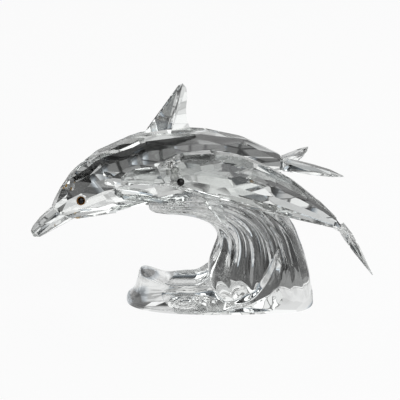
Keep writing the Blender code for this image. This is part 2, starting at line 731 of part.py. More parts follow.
def pool_ring(size):
    """Ring of points on the water, the rim shrunk towards the pool's middle."""
    points = []
    for k in range(BASE_SEGMENTS):
        x, y = base_point(2 * math.pi * k / BASE_SEGMENTS, *POOL_RIM)
        x, y = lerp(BASE_MIDDLE, x, size), lerp(POOL_MIDDLE, y, size)
        points.append(on_wave_grid(x, y, pool_height(x, y)))
    return points


def lofted(rings):
    """Closed solid through rings of points with as many points each."""
    solid = bmesh.new()
    made = [[solid.verts.new(point) for point in row] for row in rings]
    for low, high in zip(made, made[1:]):
        for k, vert in enumerate(low):
            after = (k + 1) % len(low)
            solid.faces.new((vert, low[after], high[after], high[k]))
    solid.faces.new(made[0])
    solid.faces.new(made[-1])
    bmesh.ops.recalc_face_normals(solid, faces=solid.faces[:])
    return solid


def base_solid():
    """Oval base with a flared foot, and the pool with its raised lip at the left."""
    rings = [[point + Vector((0, 0, GROUND_BELOW * WAVE_GRID[2]))
              for point in side_ring(0, 0, 0, 0)], side_ring(0, 0, 0, 0)]
    rings += [side_ring(*row) for row in BASE_SIDES]
    rings += [pool_ring(size) for size in POOL_RINGS]
    return lofted(rings)


def spur_solid():
    """Sharp spur that sweeps across the front of the wave from the pool's edge."""
    rings = []
    for x, upper, lower, crest_x in WAVE_SPUR:
        middle = lerp(lower, upper, SPUR_CREST)
        rings.append([on_wave_grid(x, SPUR_ROOT, upper),
                      on_wave_grid(crest_x, SPUR_FRONT, middle),
                      on_wave_grid(x + SPUR_FOOT, SPUR_ROOT, lower),
                      on_wave_grid(x + SPUR_FOOT, SPUR_ROOT + SPUR_DEPTH, middle)])
    return lofted(rings)


def add_wave(seats):
    """Base, fluted sheet and spur in one block, flat underneath, with the dolphins' seats."""
    wave = add_object("wave_base", base_solid())
    combine(wave, add_object("wave_sheet", sheet_solid(), cutter=True), "UNION")
    combine(wave, add_object("wave_spur", spur_solid(), cutter=True), "UNION")
    ground = bmesh.new()
    bmesh.ops.create_cube(ground, size=BLOCK, matrix=Matrix.Translation((0, 0, -BLOCK / 2)))
    combine(wave, add_object("ground_block", ground, cutter=True), "DIFFERENCE")
    for seat in seats:
        combine(wave, seat, "DIFFERENCE")


clear_scene()
add_wave(add_large_dolphin() + add_small_dolphin())
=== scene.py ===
"""Looks of the cut crystal figurine: two dolphins over a breaking wave.

Run as a script in Blender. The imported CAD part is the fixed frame: the cut stones stay its
own nodes and take crystal, and the wave and the eye beads are worked out finer here.
"""

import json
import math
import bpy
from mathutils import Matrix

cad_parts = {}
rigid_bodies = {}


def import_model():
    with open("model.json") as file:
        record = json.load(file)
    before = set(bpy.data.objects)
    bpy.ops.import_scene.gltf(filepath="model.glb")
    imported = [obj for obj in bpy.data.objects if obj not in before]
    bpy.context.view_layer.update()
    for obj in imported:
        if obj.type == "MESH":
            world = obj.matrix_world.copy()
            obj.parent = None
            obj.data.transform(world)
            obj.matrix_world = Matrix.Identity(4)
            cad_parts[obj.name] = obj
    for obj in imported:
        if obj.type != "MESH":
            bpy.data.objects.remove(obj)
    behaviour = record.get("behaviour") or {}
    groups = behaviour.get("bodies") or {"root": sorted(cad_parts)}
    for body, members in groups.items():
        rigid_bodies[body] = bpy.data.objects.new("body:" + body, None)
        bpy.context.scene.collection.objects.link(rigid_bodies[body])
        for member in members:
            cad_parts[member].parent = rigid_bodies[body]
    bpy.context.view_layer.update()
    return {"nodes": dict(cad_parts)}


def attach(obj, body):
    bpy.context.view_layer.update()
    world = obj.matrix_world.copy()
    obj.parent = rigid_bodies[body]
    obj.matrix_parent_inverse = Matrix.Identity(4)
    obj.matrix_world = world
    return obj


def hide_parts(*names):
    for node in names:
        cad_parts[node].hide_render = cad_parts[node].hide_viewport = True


bl_info = {
    "name": "Crystal Dolphin Figurine",
    "version": (1, 0, 0),
    "blender": (4, 5, 0),
    "location": "3D View > Sidebar > Figurine",
    "description": "Dresses the cut crystal dolphins, their wave and a plain studio",
    "category": "Add Mesh",
}

import bmesh
import bpy
import numpy as np
from bpy.props import FloatProperty, PointerProperty, StringProperty
from mathutils import Matrix, Vector

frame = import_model()
NODES = frame["nodes"]
MM = 0.001


def linear(code):
    """RGBA in linear light from an sRGB hex colour, by the sRGB curve."""
    parts = np.array([int(code[k:k + 2], 16) for k in (1, 3, 5)]) / 255
    low = parts <= 0.04045
    curved = np.where(low, parts / 12.92, ((parts + 0.055) / 1.055) ** 2.4)
    return (*curved.tolist(), 1.0)


def add_node(tree, kind, inputs=None, **settings):
    """Node of a kind in a tree: settings are its own, inputs are values or sockets to link."""
    node = tree.nodes.new(kind)
    for key, value in settings.items():
        setattr(node, key, value)
    for key, value in (inputs or {}).items():
        if isinstance(value, bpy.types.NodeSocket):
            tree.links.new(value, node.inputs[key])
        else:
            node.inputs[key].default_value = value
    return node


def new_material(name):
    """Empty material with nodes, and its tree and output."""
    material = bpy.data.materials.new(name)
    material.use_nodes = True
    tree = material.node_tree
    tree.nodes.clear()
    return material, tree, tree.nodes.new("ShaderNodeOutputMaterial")


# Stones that are so narrow that their short way through glass needs a denser grey
NARROW_STONES = ("small_dolphin_body", "large_dolphin_dorsal_fin")
# Painted shade on the facets that lean to the sky: how fast the noise changes with the direction
# of a facet, the noise between which a facet goes from clear to its darkest, and the same for the
# Z of its direction
PAINTED_SHADE_SCALE = 5.3
PAINTED_SHADE_NOISE = (0.42, 0.60)
PAINTED_SHADE_LEAN = (0.12, 0.45)


def crystal_material(settings, depth_share=1.0):
    """Full lead crystal, cut and polished: clear, high index, mirror-smooth facets. Light that is
    thrown to and fro inside it comes out a little greyer; depth_share scales that for one piece.
    On top of that its colour carries painted shade: each cut facet that leans to the sky is
    painted one grey by its direction, from clear down to the set depth, in place of the dark room
    that the upper facets show, so that neighbours on the backs differ; the facets below stay
    clear."""
    material, tree, output = new_material("lead_crystal_painted_shade")
    # Painted shade: facets that face up are darkened by the Z of their direction, more or less by
    # a noise of that direction
    facet = add_node(tree, "ShaderNodeNewGeometry").outputs["True Normal"]
    lean = add_node(tree, "ShaderNodeSeparateXYZ", {0: facet}).outputs["Z"]
    shade_noise = add_node(tree, "ShaderNodeTexNoise", {
        "Vector": facet, "Scale": PAINTED_SHADE_SCALE, "Detail": 0.0})
    share = add_node(tree, "ShaderNodeMapRange", {
        0: shade_noise.outputs[0], 1: PAINTED_SHADE_NOISE[0], 2: PAINTED_SHADE_NOISE[1], 3: 0.0,
        4: settings.painted_shade_depth})
    share = add_node(tree, "ShaderNodeMapRange", {
        0: lean, 1: PAINTED_SHADE_LEAN[0], 2: PAINTED_SHADE_LEAN[1], 3: 0.0, 4: share.outputs[0]})
    tone = add_node(tree, "ShaderNodeMix", {
        0: share.outputs[0], 6: linear("#F1F3F2"), 7: linear("#101112")},
        data_type="RGBA")
    shader = add_node(tree, "ShaderNodeBsdfPrincipled", {
        "Base Color": tone.outputs[2], "Roughness": settings.roughness,
        "IOR": settings.index, "Transmission Weight": 1.0})
    depth = add_node(tree, "ShaderNodeVolumeAbsorption", {
        "Color": linear("#E5E5E4"), "Density": settings.density * depth_share})
    tree.links.new(shader.outputs["BSDF"], output.inputs["Surface"])
    tree.links.new(depth.outputs["Volume"], output.inputs["Volume"])
    return material


def bead_material(name, code, roughness):
    """Polished opaque bead: black or amber glass paste, with a small sharp highlight."""
    material, tree, output = new_material(name)
    shader = add_node(tree, "ShaderNodeBsdfPrincipled", {
        "Base Color": linear(code), "Roughness": roughness, "IOR": 1.5,
        "Specular IOR Level": 0.3})
    tree.links.new(shader.outputs["BSDF"], output.inputs["Surface"])
    return material


# Wave sheet stations: inner x and z, outer x and z, half depth, middle y, in mm
WAVE_SHEET = np.array((
    (0.0, -6.0, 47.4, -6.0, 21.4, 0.8),
    (-4.0, 5.0, 46.8, 4.0, 21.2, 0.8),
    (-6.5, 15.5, 45.4, 12.5, 20.6, 1.0),
    (-4.2, 24.5, 43.2, 21.5, 20.0, 1.0),
    (-1.8, 31.5, 40.2, 30.0, 18.8, 1.0),
    (-2.2, 37.0, 36.5, 38.5, 17.6, 1.0),
    (-5.5, 41.8, 29.0, 47.5, 16.5, 1.0),
    (-12.0, 44.8, 16.5, 55.0, 15.0, 1.0),
    (-20.5, 46.3, 1.0, 58.5, 12.5, 0.5),
    (-28.0, 46.6, -14.0, 57.0, 10.0, 0.0),
    (-33.0, 47.2, -27.0, 55.0, 7.6, -0.5),
    (-35.6, 48.6, -35.0, 53.4, 5.0, -1.0),
    (-36.2, 50.2, -36.0, 52.2, 2.2, -1.0),
))
# Shares of the way from the inner to the outer edge where a ridge runs down the sheet
SHEET_RIDGES = np.array((0.0, 0.21, 0.44, 0.63, 0.8, 0.91, 1.0))
# Base outline in mm, and its side from foot to rim: distance in at the left, right and back,
# distance in at the front, and their shares of the rim's height
BASE_MIDDLE = -0.5
BASE_HALF = (47.5, 22.5)
BASE_SQUARENESS = 2.6
BASE_SIDE = np.array((
    (0.0, 0.0, 0.0, 0.0), (1.7, 3.0, 0.06, 0.10), (4.2, 7.5, 0.34, 0.30),
    (5.6, 11.5, 0.66, 0.54), (6.6, 13.2, 0.96, 0.95), (7.8, 14.2, 1.0, 1.0),
))
FOOT_HEIGHT = 1.5
POOL_MIDDLE = 4.0
# Stations of the spur: x, upper and lower height where it leaves the sheet, crest x, in mm
WAVE_SPUR = np.array((
    (-1.0, 2.2, -1.5, -2.0), (8.0, 7.2, 1.0, 7.0), (15.5, 11.5, 3.0, 14.5),
    (20.3, 17.0, 5.5, 19.0), (23.8, 23.0, 9.0, 22.6), (26.3, 29.0, 15.0, 25.4),
    (27.5, 33.0, 25.0, 27.0),
))
# Stones that the wave is hollowed for, and the gap of glue round them in metres
SEATED_STONES = ("large_dolphin_body", "small_dolphin_body", "large_dolphin_left_flipper",
                 "large_dolphin_right_flipper", "small_dolphin_left_flipper",
                 "small_dolphin_right_flipper")
GLUE_GAP = 0.0003


def smooth(share):
    """Eased share: 3 s^2 - 2 s^3, held to 0..1."""
    share = np.clip(share, 0, 1)
    return share * share * (3 - 2 * share)


def through(rows, at):
    """Rows at stations of the Catmull-Rom curve through the given rows."""
    first = np.clip(at.astype(int), 0, len(rows) - 2)
    part = (at - first)[:, None]
    a = rows[np.maximum(first - 1, 0)]
    b = rows[first]
    c = rows[first + 1]
    d = rows[np.minimum(first + 2, len(rows) - 1)]
    return 0.5 * (2 * b + (c - a) * part + (2 * a - 5 * b + 4 * c - d) * part ** 2
                  + (3 * b - a - 3 * c + d) * part ** 3)


def sheet_surface(settings):
    """Curling sheet as rings: at a station, the point at angle t of a superellipse of power 3
    runs from the inner edge to the outer one and back, and its reach across is hollowed by a
    parabola between each two ridges, which leaves sharp ridges between round flutes."""
    at = np.linspace(0, len(WAVE_SHEET) - 1, 180)
    in_x, in_z, out_x, out_z, half, middle = (v[:, None] for v in through(WAVE_SHEET, at).T)
    turn = np.linspace(0, 2 * math.pi, 360, endpoint=False)[None, :]
    cos, sin = np.cos(turn), np.sin(turn)
    share = (1 - np.sign(cos) * np.abs(cos) ** (2 / 3)) / 2
    swell = -np.sign(sin) * np.abs(sin) ** (2 / 3)
    low = np.clip(np.searchsorted(SHEET_RIDGES, share, side="right") - 1, 0,
                  len(SHEET_RIDGES) - 2)
    width = SHEET_RIDGES[low + 1] - SHEET_RIDGES[low]
    part = (share - SHEET_RIDGES[low]) / width
    hollow = 4 * part * (1 - part) * width
    depth = settings.flute_depth * smooth((at[:, None] - 0.8) / 1.6)
    x = in_x + (out_x - in_x) * share
    z = in_z + (out_z - in_z) * share
    y = middle + half * swell * (1 - depth * hollow)
    return np.stack(np.broadcast_arrays(x, y, z), -1)


def water_height(x, y):
    """Pool level, lip eased in to the left, bowl with the square of the distance from the
    pool's middle line, and fillet eased in to the right."""
    across = ((y - POOL_MIDDLE) / 13.0) ** 2
    lip = 7.8 * smooth((-24.0 - x) / 17.0) * (1 - 0.8 * across)
    return 8.0 + lip + 3.0 * across + 5.0 * smooth((x + 13.0) / 10.0)


def ripples(x, y, settings):
    """Oval ripples: a cosine of the distance from their middle that dies away outwards."""
    far = np.hypot(x - settings.ripple_x / MM, (y - settings.ripple_y / MM) * 2.0)
    height = settings.ripple_height / MM
    return height * np.cos(2 * math.pi * far / 3.6) * np.exp(-(far / 8.0) ** 2)


def base_surface(settings):
    """Base as rings: a superellipse moved in along its side curve up to the pool's rim, more
    at the front than elsewhere, then shrunk to the pool's middle over the water."""
    turn = np.linspace(0, 2 * math.pi, 288, endpoint=False)[None, :]
    cos, sin = np.cos(turn), np.sin(turn)
    power = 2 / BASE_SQUARENESS
    round_x = np.sign(cos) * np.abs(cos) ** power
    round_y = np.sign(sin) * np.abs(sin) ** power
    front = smooth((-sin - 0.15) / 0.6)
    side = through(BASE_SIDE, np.linspace(0, len(BASE_SIDE) - 1, 60))[:, None, :]
    inset = side[..., 0] + (side[..., 1] - side[..., 0]) * front
    rise = side[..., 2] + (side[..., 3] - side[..., 2]) * front
    x = BASE_MIDDLE + (BASE_HALF[0] - inset) * round_x
    y = (BASE_HALF[1] - inset) * round_y
    wall = FOOT_HEIGHT + (water_height(x[-1], y[-1]) - FOOT_HEIGHT) * rise
    size = np.linspace(1, 0.02, 70)[1:, None]
    pool_x = BASE_MIDDLE + (x[-1] - BASE_MIDDLE) * size
    pool_y = POOL_MIDDLE + (y[-1] - POOL_MIDDLE) * size
    x = np.concatenate([x[:1], x, pool_x])
    y = np.concatenate([y[:1], y, pool_y])
    z = np.concatenate([wall[:1] - 5.0, wall, water_height(pool_x, pool_y)])
    z[2:] += ripples(x[2:], y[2:], settings)
    return np.stack([x, y, z], -1)


def spur_surface():
    """Spur as rings: at a station, a three-sided section from its upper root over the sharp
    crest to its lower root, and back inside the sheet."""
    at = np.linspace(0, len(WAVE_SPUR) - 1, 120)
    x, upper, lower, crest = through(WAVE_SPUR, at).T
    middle = lower + (upper - lower) * 0.55
    root, front = np.full_like(x, -18.0), np.full_like(x, -22.4)
    corners = np.stack([
        np.stack([x, root, upper], -1), np.stack([crest, front, middle], -1),
        np.stack([x + 2, root, lower], -1), np.stack([x + 2, root + 6, middle], -1)], 1)
    part = np.linspace(0, 1, 8, endpoint=False)[None, None, :, None]
    after = np.roll(corners, -1, axis=1)
    return (corners[:, :, None] * (1 - part) + after[:, :, None] * part).reshape(len(x), -1, 3)


def ring_mesh(name, rings):
    """Closed mesh over rings in mm: quads between neighbours, a fan on each end."""
    count, around = rings.shape[:2]
    ends = np.stack([rings[0].mean(0), rings[-1].mean(0)])
    verts = np.concatenate([rings.reshape(-1, 3), ends]) * MM
    k = np.arange(around)
    after = (k + 1) % around
    row = np.arange(count - 1)[:, None] * around
    quads = np.stack([row + k, row + after, row + around + after, row + around + k], -1)
    last = (count - 1) * around
    low = np.stack([after, k, np.full(around, count * around)], -1)
    high = np.stack([last + k, last + after, np.full(around, count * around + 1)], -1)
    mesh = bpy.data.meshes.new(name)
    mesh.from_pydata(verts.tolist(), [], quads.reshape(-1, 4).tolist() + low.tolist()
                     + high.tolist())
    return mesh


def outward(mesh):
    """Turns the faces of a closed mesh outwards."""
    work = bmesh.new()
    work.from_mesh(mesh)
    bmesh.ops.recalc_face_normals(work, faces=work.faces[:])
    work.to_mesh(mesh)
    work.free()
    return mesh


def add_piece(name, mesh):
    """Object of a mesh in the scene."""
    piece = bpy.data.objects.new(name, mesh)
    bpy.context.scene.collection.objects.link(piece)
    return piece


def seat_cutter(node, margin):
    """Merged copy of a stone, moved out along its corner normals by the glue gap."""
    work = bmesh.new()
    work.from_mesh(NODES[node].data)
    bmesh.ops.remove_doubles(work, verts=work.verts[:], dist=1e-6)
    mesh = bpy.data.meshes.new(node + "_seat")
    work.to_mesh(mesh)
    work.free()
    count = len(mesh.vertices)
    place, normal = np.empty(count * 3, np.float32), np.empty(count * 3, np.float32)
    mesh.vertices.foreach_get("co", place)
    mesh.vertex_normals.foreach_get("vector", normal)
    mesh.vertices.foreach_set("co", place + margin * normal)
    return add_piece(node + "_seat", mesh)


def baked(piece, helpers):
    """Replaces a piece's mesh by its final one and removes the objects it was made with."""
    bpy.context.view_layer.update()
    graph = bpy.context.evaluated_depsgraph_get()
    mesh = bpy.data.meshes.new_from_object(piece.evaluated_get(graph), depsgraph=graph)
    piece.modifiers.clear()
    piece.data = mesh
    for helper in helpers:
        bpy.data.objects.remove(helper)
    return piece


class WaveSettings(bpy.types.PropertyGroup):
    """Moulded wave."""
    flute_depth: FloatProperty(
        name="Flute depth", description="Depth of a flute as a share of its width",
        default=0.5, min=0.0, max=1.0)
    ripple_x: FloatProperty(
        name="Ripple X", description="Middle of the ripples", default=-0.018, unit="LENGTH")
    ripple_y: FloatProperty(
        name="Ripple Y", description="Middle of the ripples", default=-0.0155, unit="LENGTH")
    ripple_height: FloatProperty(
        name="Ripple height", description="Height of the ripples", default=0.0003,
        unit="LENGTH")
    grain: FloatProperty(
        name="Grain", description="Edge of the faces of the finished surface",
        default=0.0005, unit="LENGTH")


class EyeSettings(bpy.types.PropertyGroup):
    """Eye beads."""
    pupil_colour: StringProperty(
        name="Pupil colour", description="sRGB hex colour of the jet glass",
        default="#0C0B0B")
    rim_colour: StringProperty(
        name="Rim colour", description="sRGB hex colour of the amber glass",
        default="#8A5C20")
    foil_colour: StringProperty(
        name="Foil colour", description="sRGB hex colour of the gold foil behind the large eye",
        default="#C79A3C")
    pupil_share: FloatProperty(
        name="Pupil", description="Pupil's share of the large eye's radius", default=0.74,
        min=0.1, max=1.0, subtype="FACTOR")
    bead_share: FloatProperty(
        name="Bead", description="Bead's share of its socket's radius, as the cut stone round "
        "it magnifies it", default=0.72, min=0.1, max=1.0, subtype="FACTOR")


class CrystalSettings(bpy.types.PropertyGroup):
    """Finish of the cut stones."""
    index: FloatProperty(
        name="Index", description="Refractive index of the crystal", default=1.54,
        min=1.3, max=2.0)
    density: FloatProperty(
        name="Density", description="How much the depth of the crystal greys it, per metre",
        default=12.0, min=0.0)
    # Most painted shade that one upper facet gets over the next
    painted_shade_depth: FloatProperty(
        name="Painted shade depth", description="Most that one upper facet is darker than the next",
        default=0.65, min=0.0, max=1.0, subtype="FACTOR")
    narrow_share: FloatProperty(
        name="Narrow stones", description="Density of the narrow stones, as a share",
        default=1.2, min=0.0)
    roughness: FloatProperty(
        name="Roughness", description="Roughness of the polished facets", default=0.0,
        min=0.0, max=1.0, subtype="FACTOR")


class StudioSettings(bpy.types.PropertyGroup):
    """Camera and room."""
    lens: FloatProperty(
        name="Lens", description="Focal length", default=120.0, min=20.0, unit="CAMERA")
    distance: FloatProperty(
        name="Distance", description="Camera to the middle of the figurine",
        default=0.66667, min=0.1, unit="LENGTH")
    elevation: FloatProperty(
        name="Elevation", description="Camera's height over the horizon",
        default=math.radians(18), subtype="ANGLE")


class FIGURINE_OT_stones(bpy.types.Operator):
    """Give every cut stone its crystal"""
    bl_idname = "figurine.stones"
    bl_label = "Cut Stones"

    def execute(self, context):
        settings = context.scene.figurine_crystal
        # The crystal carries painted shade on the facets that lean to the sky
        crystal = crystal_material(settings)
        narrow = crystal_material(settings, settings.narrow_share)
        for name, node in NODES.items():
            if "eye" in name:
                continue
            node.data.materials.clear()
            node.data.materials.append(narrow if name in NARROW_STONES else crystal)
        return {"FINISHED"}


class FIGURINE_OT_wave(bpy.types.Operator):
    """Mould the wave with its flutes, spur and pool"""
    bl_idname = "figurine.wave"
    bl_label = "Wave"

    def execute(self, context):
        settings = context.scene.figurine_wave
        wave = add_piece("moulded_wave", outward(ring_mesh("moulded_wave",
                                                           base_surface(settings))))
        parts = [add_piece("sheet", outward(ring_mesh("sheet", sheet_surface(settings)))),
                 add_piece("spur", outward(ring_mesh("spur", spur_surface())))]
        for part in parts:
            join = wave.modifiers.new(part.name, "BOOLEAN")
            join.operation = "UNION"
            join.solver = "MANIFOLD"
            join.object = part
        skin = wave.modifiers.new("skin", "REMESH")
        skin.mode = "VOXEL"
        skin.voxel_size = settings.grain
        soft = wave.modifiers.new("soft", "SMOOTH")
        soft.factor = 0.5
        soft.iterations = 6
        block = bpy.data.meshes.new("ground")
        work = bmesh.new()
        bmesh.ops.create_cube(work, size=0.2, matrix=Matrix.Translation((0, 0, -0.1)))
        work.to_mesh(block)
        work.free()
        cutters = [add_piece("ground", block)]
        cutters += [seat_cutter(name, GLUE_GAP) for name in SEATED_STONES]
        for cutter in cutters:
            cut = wave.modifiers.new(cutter.name, "BOOLEAN")
            cut.operation = "DIFFERENCE"
            cut.solver = "EXACT"
            cut.object = cutter
        baked(wave, parts + cutters)
        wave.data.polygons.foreach_set("use_smooth", np.ones(len(wave.data.polygons), bool))
        wave.data.set_sharp_from_angle(angle=math.radians(38))
        wave.data.materials.clear()
        # The wave takes the crystal too, with its painted shade on the faces that lean to the sky
        wave.data.materials.append(crystal_material(context.scene.figurine_crystal))
        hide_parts("wave_base")
        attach(wave, "root")
        return {"FINISHED"}


class FIGURINE_OT_eyes(bpy.types.Operator):
    """Make the foil-backed eye beads"""
    bl_idname = "figurine.eyes"
    bl_label = "Eyes"

    def execute(self, context):
        settings = context.scene.figurine_eyes
        jet = bead_material("jet_glass", settings.pupil_colour, 0.05)
        amber = bead_material("amber_glass", settings.rim_colour, 0.10)
        silver = foil_material("silver_foil", "#D8D8D6")
        gold = foil_material("gold_foil", settings.foil_colour)
        for node in sorted(NODES):
            if not node.endswith("_eye"):
                continue
            large = node.startswith("large")
            place, radius, depth = bead_frame(node)
            radius *= settings.bead_share
            back = turned_mesh(node + "_foil_back", back_profile(radius, depth), place)
            front = turned_mesh(node + "_bead", dome_profile(
                radius * (settings.pupil_share if large else 1.0), radius), place)
            pieces = [(back, gold if large else silver, "amber_bead" if large
                       else "black_bead"), (front, jet, "black_bead")]
            if large:
                rim = turned_mesh(node + "_rim", rim_profile(
                    radius, radius * settings.pupil_share), place)
                pieces.append((rim, amber, "amber_bead"))
            for piece, material, slot in pieces:
                piece.data.materials.append(material)
                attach(piece, "root")
            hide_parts(node)
        return {"FINISHED"}


# Rise of a bead's domed front as a share of its radius, and the play between its parts in metres
DOME_RISE = 0.45
BEAD_PLAY = 0.12 * MM
TURN_STEPS = 48


def bead_frame(node):
    """Frame of a bead's rim, its radius and the depth of its shank: the CAD bead's two poles
    are the corners that most of its triangles share, and the outer one is farther from the
    other stones' middle."""
    mesh = NODES[node].data
    place = np.empty(len(mesh.vertices) * 3, np.float32)
    mesh.vertices.foreach_get("co", place)
    place = place.reshape(-1, 3)
    spots, inverse = np.unique(np.round(place, 6), axis=0, return_inverse=True)
    corners = np.empty(len(mesh.loops), np.int32)
    mesh.loops.foreach_get("vertex_index", corners)
    shared = np.bincount(inverse.ravel()[corners], minlength=len(spots))
    poles = spots[np.argsort(shared)[-2:]]
    side = -1 if "left" in node else 1
    poles = poles[np.argsort(side * poles[:, 1])]
    axis = (poles[1] - poles[0]) / np.linalg.norm(poles[1] - poles[0])
    off = place - poles[0]
    along = off @ axis
    radius = float(np.linalg.norm(off - along[:, None] * axis, axis=1).max())
    length = float(np.linalg.norm(poles[1] - poles[0]))
    depth = length - DOME_RISE * radius
    turn = Vector((0, 0, 1)).rotation_difference(Vector(axis)).to_matrix().to_4x4()
    return Matrix.Translation(Vector(poles[0] + axis * depth)) @ turn, radius, depth


def dome_profile(radius, seat):
    """Domed front: a quarter ellipse from the rim to the pole, closed through the middle."""
    turn = np.linspace(0, math.pi / 2, 14)
    rise = DOME_RISE * seat
    edge = np.stack([radius * np.cos(turn), rise * np.sin(turn)], -1)
    return np.concatenate([[(0.0, -BEAD_PLAY), (radius, -BEAD_PLAY)], edge])


def back_profile(radius, depth):
    """Shank behind the front: a cone frustum with a rounded end."""
    return np.array(((0.0, -depth), (radius * 0.4, -depth), (radius * 0.6, -depth * 0.85),
                     (radius * 0.92, -0.3 * MM), (radius * 0.92, -0.13 * MM),
                     (0.0, -0.13 * MM)))


def rim_profile(radius, inner):
    """Rim round the pupil: a low rounded band between two radii."""
    turn = np.linspace(0, math.pi, 12)
    middle, half = (radius + inner) / 2, (radius - inner) / 2
    band = np.stack([middle + half * np.cos(turn), 0.3 * radius * np.sin(turn)], -1)
    return np.concatenate([band, [(inner, -BEAD_PLAY), (radius, -BEAD_PLAY), band[0]]])


def turned_mesh(name, profile, place):
    """Object of a surface of revolution: each profile point (radius, height) turned in
    TURN_STEPS steps about the place's own Z axis."""
    turn = np.linspace(0, 2 * math.pi, TURN_STEPS, endpoint=False)[None, :]
    radius, height = profile[:, :1], profile[:, 1:]
    rings = np.stack(np.broadcast_arrays(radius * np.cos(turn), radius * np.sin(turn), height),
                     -1)
    matrix = np.array(place)
    verts = rings.reshape(-1, 3) @ matrix[:3, :3].T + matrix[:3, 3]
    k = np.arange(TURN_STEPS)
    after = (k + 1) % TURN_STEPS
    row = np.arange(len(profile) - 1)[:, None] * TURN_STEPS
    quads = np.stack([row + k, row + after, row + TURN_STEPS + after, row + TURN_STEPS + k], -1)
    mesh = bpy.data.meshes.new(name)
    mesh.from_pydata(verts.tolist(), [], quads.reshape(-1, 4).tolist())
    work = bmesh.new()
    work.from_mesh(mesh)
    bmesh.ops.remove_doubles(work, verts=work.verts[:], dist=1e-6)
    bmesh.ops.recalc_face_normals(work, faces=work.faces[:])
    work.to_mesh(mesh)
    work.free()
    mesh.polygons.foreach_set("use_smooth", np.ones(len(mesh.polygons), bool))
    mesh.set_sharp_from_angle(angle=math.radians(40))
    return add_piece(name, mesh)


def foil_material(name, code):
    """Foil behind the beads: bright brushed metal that glints through the stone."""
    material, tree, output = new_material(name)
    shader = add_node(tree, "ShaderNodeBsdfPrincipled", {
        "Base Color": linear(code), "Metallic": 1.0, "Roughness": 0.3})
    tree.links.new(shader.outputs["BSDF"], output.inputs["Surface"])
    return material


class FIGURINE_OT_stage(bpy.types.Operator):
    """Set up the floor, the lights and the camera"""
    bl_idname = "figurine.stage"
    bl_label = "Studio"

    def execute(self, context):
        studio = context.scene.figurine_studio
        add_world(context.scene)
        add_floor()
        add_graded_card()
        add_flag()
        add_lamps()
        add_camera(context.scene, studio)
        context.scene.view_settings.view_transform = "Standard"
        context.scene.cycles.max_bounces = 24
        context.scene.cycles.transmission_bounces = 20
        context.scene.cycles.glossy_bounces = 16
        return {"FINISHED"}


# The room by sine of elevation: grey level behind the figurine, and at the left and the right
# of the camera's side
ROOM_BACK = ((-1.0, 0.95), (0.0, 0.95), (0.34, 1.15), (0.54, 1.15), (0.64, 0.30), (0.76, 0.08),
             (1.0, 0.08))
ROOM_LEFT = ((-1.0, 0.30), (0.0, 0.35), (0.20, 0.65), (0.42, 0.55), (0.54, 0.05), (1.0, 0.04))
ROOM_RIGHT = ((-1.0, 0.60), (0.0, 0.85), (0.30, 0.85), (0.60, 0.70), (1.0, 0.35))
# How far red, green and blue are spread by the cut stones, as a shift in that sine
SPREAD = (0.004, 0.0, -0.004)
# Width of the dark gap between two panels of the room or of the card, as a share of a panel
GAP = 0.05


def panel_nodes(tree, place, scale, depth):
    """Irregular panels: their tone, and a factor that darkens the gaps between them down to
    the depth."""
    panels = add_node(tree, "ShaderNodeTexVoronoi", {
        "Vector": place, "Scale": scale, "Randomness": 1.0})
    tone = add_node(tree, "ShaderNodeSeparateColor", {0: panels.outputs["Color"]})
    edges = add_node(tree, "ShaderNodeTexVoronoi", {
        "Vector": place, "Scale": scale, "Randomness": 1.0}, feature="DISTANCE_TO_EDGE")
    gap = add_node(tree, "ShaderNodeMapRange", {
        0: edges.outputs["Distance"], 1: GAP * 0.4, 2: GAP, 3: depth, 4: 1.0})
    return tone.outputs[0], gap.outputs[0]


